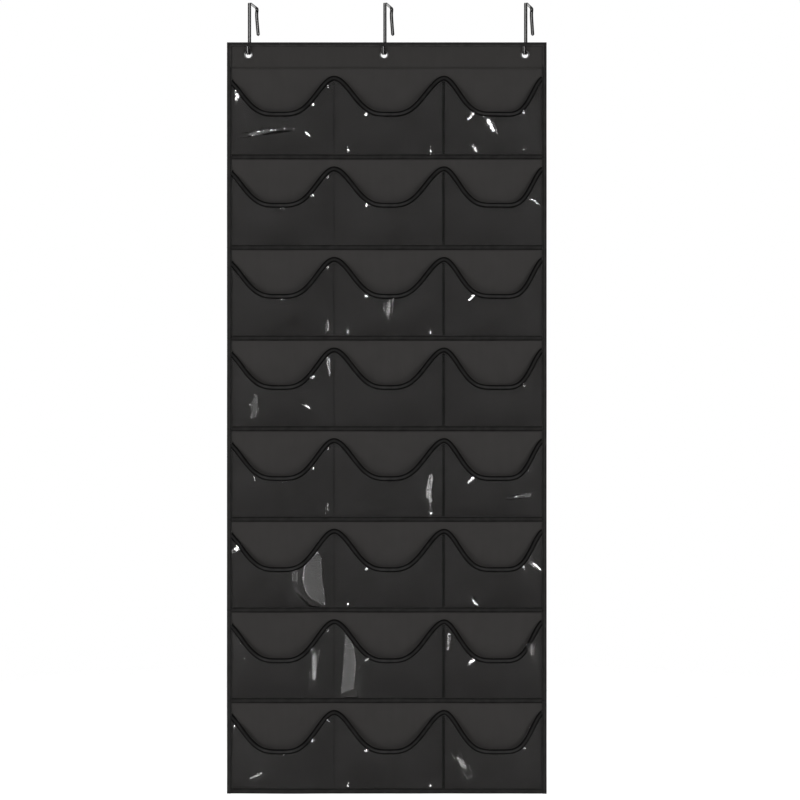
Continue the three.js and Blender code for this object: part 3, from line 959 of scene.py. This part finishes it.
def mouth_course(x, row, lift):
    """Middle of the tape over the mouth, its direction across and its direction outwards."""
    top = row_top(row) - mouth_drop(x)
    slope = np.gradient(top, x)
    run = 1 / np.sqrt(1 + slope ** 2)
    half = HEM_HEIGHT / 2
    middle_x = np.clip(x + half * slope * run, POCKET_LEFT, POCKET_RIGHT)
    middle_z = top - half * run
    middle = np.stack([middle_x, PANEL_Y - lift(middle_x, middle_z), middle_z], -1)
    edge_y = PANEL_Y - lift(x, top)
    lean = np.clip((edge_y - middle[:, 1]) / half, -MOUTH_LEAN, MOUTH_LEAN)
    side = unit(np.stack([-slope * run, lean, run], -1))
    normal = np.cross(side, unit(np.gradient(middle, axis=0)))
    normal *= -np.sign(normal[:, 1:2])
    return middle, side, unit(normal)


def keep_before_backing(made):
    points = np.empty(3 * len(made.data.vertices))
    made.data.vertices.foreach_get("co", points)
    points = points.reshape(-1, 3)
    stop = PANEL_Y - hang(points[:, 0], points[:, 2])
    points[:, 1] = np.minimum(points[:, 1], stop)
    made.data.vertices.foreach_set("co", points.ravel())


def make_mouth_tape(row, lift, stitching):
    x = np.linspace(POCKET_LEFT, POCKET_RIGHT, 340 if FINE else 140)
    middle, side, normal = mouth_course(x, row, lift)
    section = padded_band(-1.0 * MM, 1.3 * MM, MOUTH_GROOVE, 0.8 * MM)
    made = sweep(f"mouth_tape_{row}", middle, side, normal, section, MOUTH_TAPE)
    keep_before_backing(made)
    # painted highlight: the crown of the tape is painted lighter towards the bottom of each scallop
    depth = (mouth_drop(x) - PEAK_DROP) / (VALLEY_DROP - PEAK_DROP)
    wear = made.data.attributes.new("wear", "FLOAT", "POINT")
    wear.data.foreach_set("value", np.repeat(smooth(0.82, 0.99, depth), len(section)))
    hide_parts(f"row_{row}_mouth_binding")
    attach(made, f"row_{row}")
    for across in (-MOUTH_GROOVE, MOUTH_GROOVE):
        stitching.along(middle + 0.45 * MM * normal + across * side, normal)


def make_hem_tape(row, stitching):
    x = np.linspace(POCKET_LEFT, POCKET_RIGHT, 150)
    z = np.full_like(x, hem_top(row) - HEM_HEIGHT / 2)
    path = np.stack([x, PANEL_Y - FILM_BASE - hang(x, z), z], -1)
    side = np.tile([0.0, 0.0, 1.0], (len(x), 1))
    normal = forwards(len(x))
    section = padded_band(-0.3 * MM, 0.5 * MM, HEM_GROOVE, 0.45 * MM)
    made = sweep(f"hem_tape_{row}", path, side, normal, section, HEM_TAPE)
    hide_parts(f"row_{row}_hem_binding")
    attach(made, f"row_{row}")
    rear = path - (FILM_BASE + FABRIC_HALF) * normal
    for across in (-HEM_GROOVE, HEM_GROOVE):
        stitching.along(path + 0.4 * MM * normal + across * side, normal)
        stitching.along(rear + across * side, -normal)


def channel_section():
    """Section of an edge tape folded round the panel: (inwards from the middle of its flanges,
    forwards). Its outer fold is round."""
    wall, lip = 0.8 * MM, 0.4 * MM
    inner, outer = EDGE_TAPE / 2, -EDGE_TAPE / 2
    half = (TAPE_FRONT - TAPE_BACK) / 2
    section = [(inner, TAPE_FRONT - lip), (inner - lip, TAPE_FRONT)]
    section += [(inner - share * EDGE_TAPE, TAPE_FRONT) for share in (0.2, 0.4, 0.6)]
    section += arc((outer + half, (TAPE_FRONT + TAPE_BACK) / 2), half, 90, 270, 9).tolist()
    section += [(inner - lip, TAPE_BACK), (inner, TAPE_BACK + lip)]
    back, front = TAPE_BACK + wall, TAPE_FRONT - wall
    section += [(inner, back), (outer + 2 * wall, back), (outer + wall, back + wall),
                (outer + wall, front - wall), (outer + 2 * wall, front), (inner, front)]
    return section


def make_edge_tape(row, side_name, stitching):
    z = row_levels(row, 4 * MM)
    edge, inwards = (LEFT, 1.0) if side_name == "left" else (RIGHT, -1.0)
    x = np.full_like(z, edge + inwards * EDGE_TAPE / 2)
    path = np.stack([x, PANEL_Y - hang(x, z), z], -1)
    side = np.tile([inwards, 0.0, 0.0], (len(z), 1))
    normal = forwards(len(z))
    made = sweep(f"{side_name}_tape_{row}", path, side, normal, channel_section(), EDGE_TAPE_FINISH)
    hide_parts(f"row_{row}_{side_name}_binding")
    join_rows(made)
    straight = z < fold_height(row) - FOLD_REACH
    seam = path[straight] + EDGE_SEAM * side[straight]
    stitching.along(seam + TAPE_FRONT * normal[straight], normal[straight])
    stitching.along(seam + TAPE_BACK * normal[straight], -normal[straight])


def make_divider_seams(row, lift, stitching):
    """Stitches that hold the film to the backing between two pockets. The left divider has one
    row of them, the right one has three of thicker dark thread close together, a dark band put
    there as painted shade along that seam."""
    z = np.linspace(row_top(row) - PEAK_DROP - HEM_HEIGHT, hem_top(row), 40)
    left, right = POCKETS[0][1], POCKETS[1][1]
    lines = [(left, THREAD_RADIUS)]
    # painted shade: three thick dark thread lines stand for the shade along the right divider
    lines += [(right - away * MM, SHADE_BAND_THREAD_RADIUS) for away in (3.2, 1.5, -0.2)]
    for x_at, radius in lines:
        x = np.full_like(z, x_at)
        line = np.stack([x, PANEL_Y - lift(x, z), z], -1)
        stitching.along(line, forwards(len(z)), radius)


def make_row(row):
    stitching = Stitching()
    make_backing(row)
    lift = make_film(row)
    make_mouth_tape(row, lift, stitching)
    make_hem_tape(row, stitching)
    make_divider_seams(row, lift, stitching)
    for side_name in ("left", "right"):
        make_edge_tape(row, side_name, stitching)
    stitching.build(f"row_{row}_stitches", f"row_{row}")


# ---- header

EYELETS = [JOINTS[f"swivel_{side_name}"]["pos_m"] for side_name in HOOK_SIDES]
CLOTH_HOLE = 6.4 * MM    # radius of the hole in the cloth round each eyelet


def eyelet_dimple(x, z):
    """The fabric is pressed flat by the eyelets and puckers slightly round them."""
    relief = np.zeros_like(x)
    for eye_x, _, eye_z in EYELETS:
        dx, dz = x - eye_x, z - eye_z
        distance = np.hypot(dx, dz)
        ripple = 1 + 0.5 * np.cos(5 * np.arctan2(dz, dx) + 1.0)
        relief = relief + ripple * smooth(8 * MM, 13 * MM, distance) * np.exp(-distance / (9 * MM))
    return 0.9 * MM * relief


def header_sheet(name, low, front, material):
    """Cloth round the three eyelets. Only the facing, which is in front, puckers."""
    left, right, high = LEFT + CLOTH_INSET, RIGHT - CLOTH_INSET, TOP - CLOTH_INSET
    across = np.linspace(left, right, 150)
    outline = [(x, low) for x in across] + [(x, high) for x in across[::-1]]
    margin, reach = 2 * MM, 20 * MM
    holes = []
    nets = [net(left + 3 * MM, right - 3 * MM, low + margin, high - margin, 5 * MM)]
    for eye_x, _, eye_z in EYELETS:
        holes.append(arc((eye_x, eye_z), CLOTH_HOLE, 0, 360, 41)[:-1])
        nets.append(net(eye_x - reach, eye_x + reach, eye_z - reach, eye_z + reach, 1.6 * MM))
    points = np.concatenate(nets)
    clear = (points[:, 1] > low + margin) & (points[:, 1] < high - margin)
    for eye_x, _, eye_z in EYELETS:
        clear &= np.hypot(points[:, 0] - eye_x, points[:, 1] - eye_z) > CLOTH_HOLE + 0.8 * MM

    def lift(x, z):
        if front < FACING_FRONT:
            return np.full_like(x, front)
        ease = 0.4 * MM * np.sin(2 * np.pi * x / 0.21 + 1) * smooth(0, 15 * MM, TOP - z)
        return front + eyelet_dimple(x, z) + ease * smooth(0, 12 * MM, z - row_top(1))

    return cut_sheet(name, outline, holes, points[clear], lift, 2 * FABRIC_HALF, material)


def make_header():
    stitching = Stitching()
    seam = fold_height(1) + FOLD_OVERLAP
    panel = header_sheet("header_panel_cloth", seam, FABRIC_HALF, FABRIC)
    facing = header_sheet("header_facing_cloth", HEADER_BOTTOM, FACING_FRONT, FACING)
    for made, cad_name in ((panel, "header_panel"), (facing, "header_facing")):
        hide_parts(cad_name)
        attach(made, "header")
    make_header_tape(seam, stitching)
    x = np.linspace(LEFT + EDGE_TAPE, RIGHT - EDGE_TAPE, 120)
    z = np.full_like(x, HEADER_BOTTOM + 3 * MM)
    line = np.stack([x, np.full_like(x, PANEL_Y - FACING_FRONT), z], -1)
    stitching.along(line, forwards(len(x)))
    stitching.build("header_stitches", "header")


def header_tape_course(low):
    """Points up the left edge, along the top and down the right edge, and the directions inwards,
    which are mitred at the corners."""
    inset = EDGE_TAPE / 2
    left, right, high = LEFT + inset, RIGHT - inset, TOP - inset
    corners = np.array([(left, low), (left, high), (right, high), (right, low)])
    mitres = [(1, 0), (1, -1), (-1, -1), (-1, 0)]
    inwards = [(1, 0), (0, -1), (-1, 0)]
    path, side = [], []
    for start, end, mitre, straight in zip(corners, corners[1:], mitres, inwards):
        steps = max(4, int(np.linalg.norm(end - start) / (6 * MM)))
        path += [start + (end - start) * i / steps for i in range(steps)]
        side += [mitre] + [straight] * (steps - 1)
    return np.array(path + [corners[-1]]), np.array(side + [mitres[-1]], float)


def make_header_tape(low, stitching):
    path, side = header_tape_course(low)
    spine = np.stack([path[:, 0], np.full(len(path), PANEL_Y), path[:, 1]], -1)
    inwards = np.stack([side[:, 0], 0 * side[:, 0], side[:, 1]], -1)
    normal = forwards(len(path))
    made = sweep("header_tape", spine, inwards, normal, channel_section(), HEADER_TAPE)
    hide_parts("header_binding")
    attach(made, "header")
    stitching.along(spine + TAPE_FRONT * normal, normal)
    stitching.along(spine + TAPE_BACK * normal, -normal)


# ---- eyelets and hooks

HOLE = 5.6 * MM          # radius of the eyelet's clear hole
BARREL = 6.2 * MM
RIM = 8.2 * MM
STRIP_WIDTH = 6.4 * MM
STRIP_THICKNESS = hook_high.z
J_RADIUS = 4.6 * MM + STRIP_THICKNESS / 2
BEND_RADIUS = 2.5 * MM + STRIP_THICKNESS / 2
DOOR_GAP = 44 * MM
REAR_LEG = J_RADIUS + DOOR_GAP + STRIP_THICKNESS
TIP_DROP = 7 * MM        # end of the J below the top of the panel
REAR_LENGTH = 50 * MM
REAR_KINK_DROP = 13 * MM
REAR_KINK_DEPTH = 2 * MM
REAR_EARLY_FLARE = 2.4 * MM
REAR_FLARE = 8 * MM


def make_eyelet(side_name, centre):
    """Rolled rim in front, barrel through both cloths, lip rolled over behind the washer."""
    rim_back, lip_back, lip_front = 1.15 * MM, -1.7 * MM, -1.1 * MM
    middle, half = (HOLE + RIM) / 2, (RIM - HOLE) / 2
    turns = np.radians(np.arange(0, 181, 20))
    profile = [(middle + half * math.cos(t), 1.4 * MM + 1.0 * MM * math.sin(t)) for t in turns]
    profile += [(HOLE, lip_back), (BARREL + 0.4 * MM, lip_back),
                (BARREL + 0.6 * MM, lip_back + 0.3 * MM), (BARREL + 0.5 * MM, lip_front),
                (BARREL, lip_front), (BARREL, rim_back), (RIM - 0.2 * MM, rim_back)]
    ring = lathe(f"eyelet_ring_{side_name}", centre, profile, EYELET_METAL)
    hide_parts(f"eyelet_{side_name}")
    face = -0.6 * MM
    washer_profile = [(BARREL + 0.3 * MM, face), (RIM - 0.3 * MM, face), (RIM, -0.75 * MM),
                      (RIM, -0.9 * MM), (RIM - 0.4 * MM, lip_front), (BARREL + 0.3 * MM, lip_front)]
    washer = lathe(f"washer_ring_{side_name}", centre, washer_profile, EYELET_METAL)
    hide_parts(f"eyelet_washer_{side_name}")
    for piece in (ring, washer):
        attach(piece, "header")


def arc(centre, radius, start, end, steps):
    turns = np.radians(np.linspace(start, end, steps))
    return np.stack([centre[0] + radius * np.cos(turns), centre[1] + radius * np.sin(turns)], -1)


def smooth_line(points, steps):
    """A Catmull-Rom curve through the points."""
    points = np.asarray(points)
    padded = np.concatenate([[2 * points[0] - points[1]], points, [2 * points[-1] - points[-2]]])
    line = []
    for a, b, c, d in zip(padded, padded[1:], padded[2:], padded[3:]):
        for t in np.linspace(0, 1, steps, endpoint=False):
            line.append(0.5 * (2 * b + (c - a) * t + (2 * a - 5 * b + 4 * c - d) * t ** 2
                               + (3 * b - a - 3 * c + d) * t ** 3))
    return np.array(line + [points[-1]])


def hook_line():
    """Middle line of the strip in side view: (backwards from the eyelet's axis, up)."""
    j_centre = (0, hook_low.z + J_RADIUS + STRIP_THICKNESS / 2)
    bend = STRIP_THICKNESS / 2 - BEND_RADIUS
    fall = np.linspace([-J_RADIUS, TOP - TIP_DROP], [-J_RADIUS, j_centre[1]], 14)[:-1]
    rise = np.linspace([J_RADIUS, j_centre[1]], [J_RADIUS, bend], 30)[1:-1]
    rear = smooth_line([(REAR_LEG, bend), (REAR_LEG - REAR_KINK_DEPTH, -REAR_KINK_DROP),
                        (REAR_LEG + REAR_EARLY_FLARE, (-REAR_KINK_DROP - REAR_LENGTH) / 2),
                        (REAR_LEG + REAR_FLARE, -REAR_LENGTH)], 12)
    line = [fall, arc(j_centre, J_RADIUS, 180, 360, 24), rise,
            arc((J_RADIUS + BEND_RADIUS, bend), BEND_RADIUS, 180, 90, 9),
            arc((REAR_LEG - BEND_RADIUS, bend), BEND_RADIUS, 90, 0, 9), rear[1:]]
    return np.concatenate(line)


def strip_section():
    """Flat strip with rounded edges; points near them keep the faces' shading flat."""
    section = []
    radius = 0.35 * MM
    for right, front, start in ((1, 1, 0), (-1, 1, 90), (-1, -1, 180), (1, -1, 270)):
        centre = (right * (STRIP_WIDTH / 2 - radius), front * (STRIP_THICKNESS / 2 - radius))
        corner = arc(centre, radius, start, start + 90, 4).tolist()
        flat = (centre[0] - right * 0.3 * MM, front * STRIP_THICKNESS / 2)
        section += corner + [flat] if start in (0, 180) else [flat] + corner
    return section


def make_hook(side_name, centre):
    """The hook stands square to the panel in the middle of its swivel's range, and at rest it is
    turned from there by as much."""
    low, high = JOINTS[f"swivel_{side_name}"]["range_deg"]
    turn = math.radians((low + high) / 2)
    backwards = np.array([math.sin(turn), math.cos(turn), 0])
    sideways = np.array([math.cos(turn), -math.sin(turn), 0])
    line = hook_line()
    path = np.array([centre[0], centre[1], 0]) + line[:, :1] * backwards + line[:, 1:] * [[0, 0, 1]]
    side = np.tile(sideways, (len(path), 1))
    normal = np.cross(side, unit(np.gradient(path, axis=0)))
    from_start = distances(path)
    from_end = np.minimum(from_start, from_start[-1] - from_start)
    short = 1 - np.clip(from_end / (STRIP_WIDTH / 2), 0, 1)
    made = sweep(f"hook_strip_{side_name}", path, side, normal, strip_section(), HOOK_METAL,
                 scale=np.sqrt(np.maximum(1 - short ** 2, 0.02)), along=from_end)
    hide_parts(f"hook_{side_name}")
    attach(made, f"hook_{side_name}")


# ---- the whole

make_studio()
make_header()
for side_name, centre in zip(HOOK_SIDES, EYELETS):
    make_eyelet(side_name, centre)
    make_hook(side_name, centre)
for row_number in range(1, ROWS + 1):
    make_row(row_number)
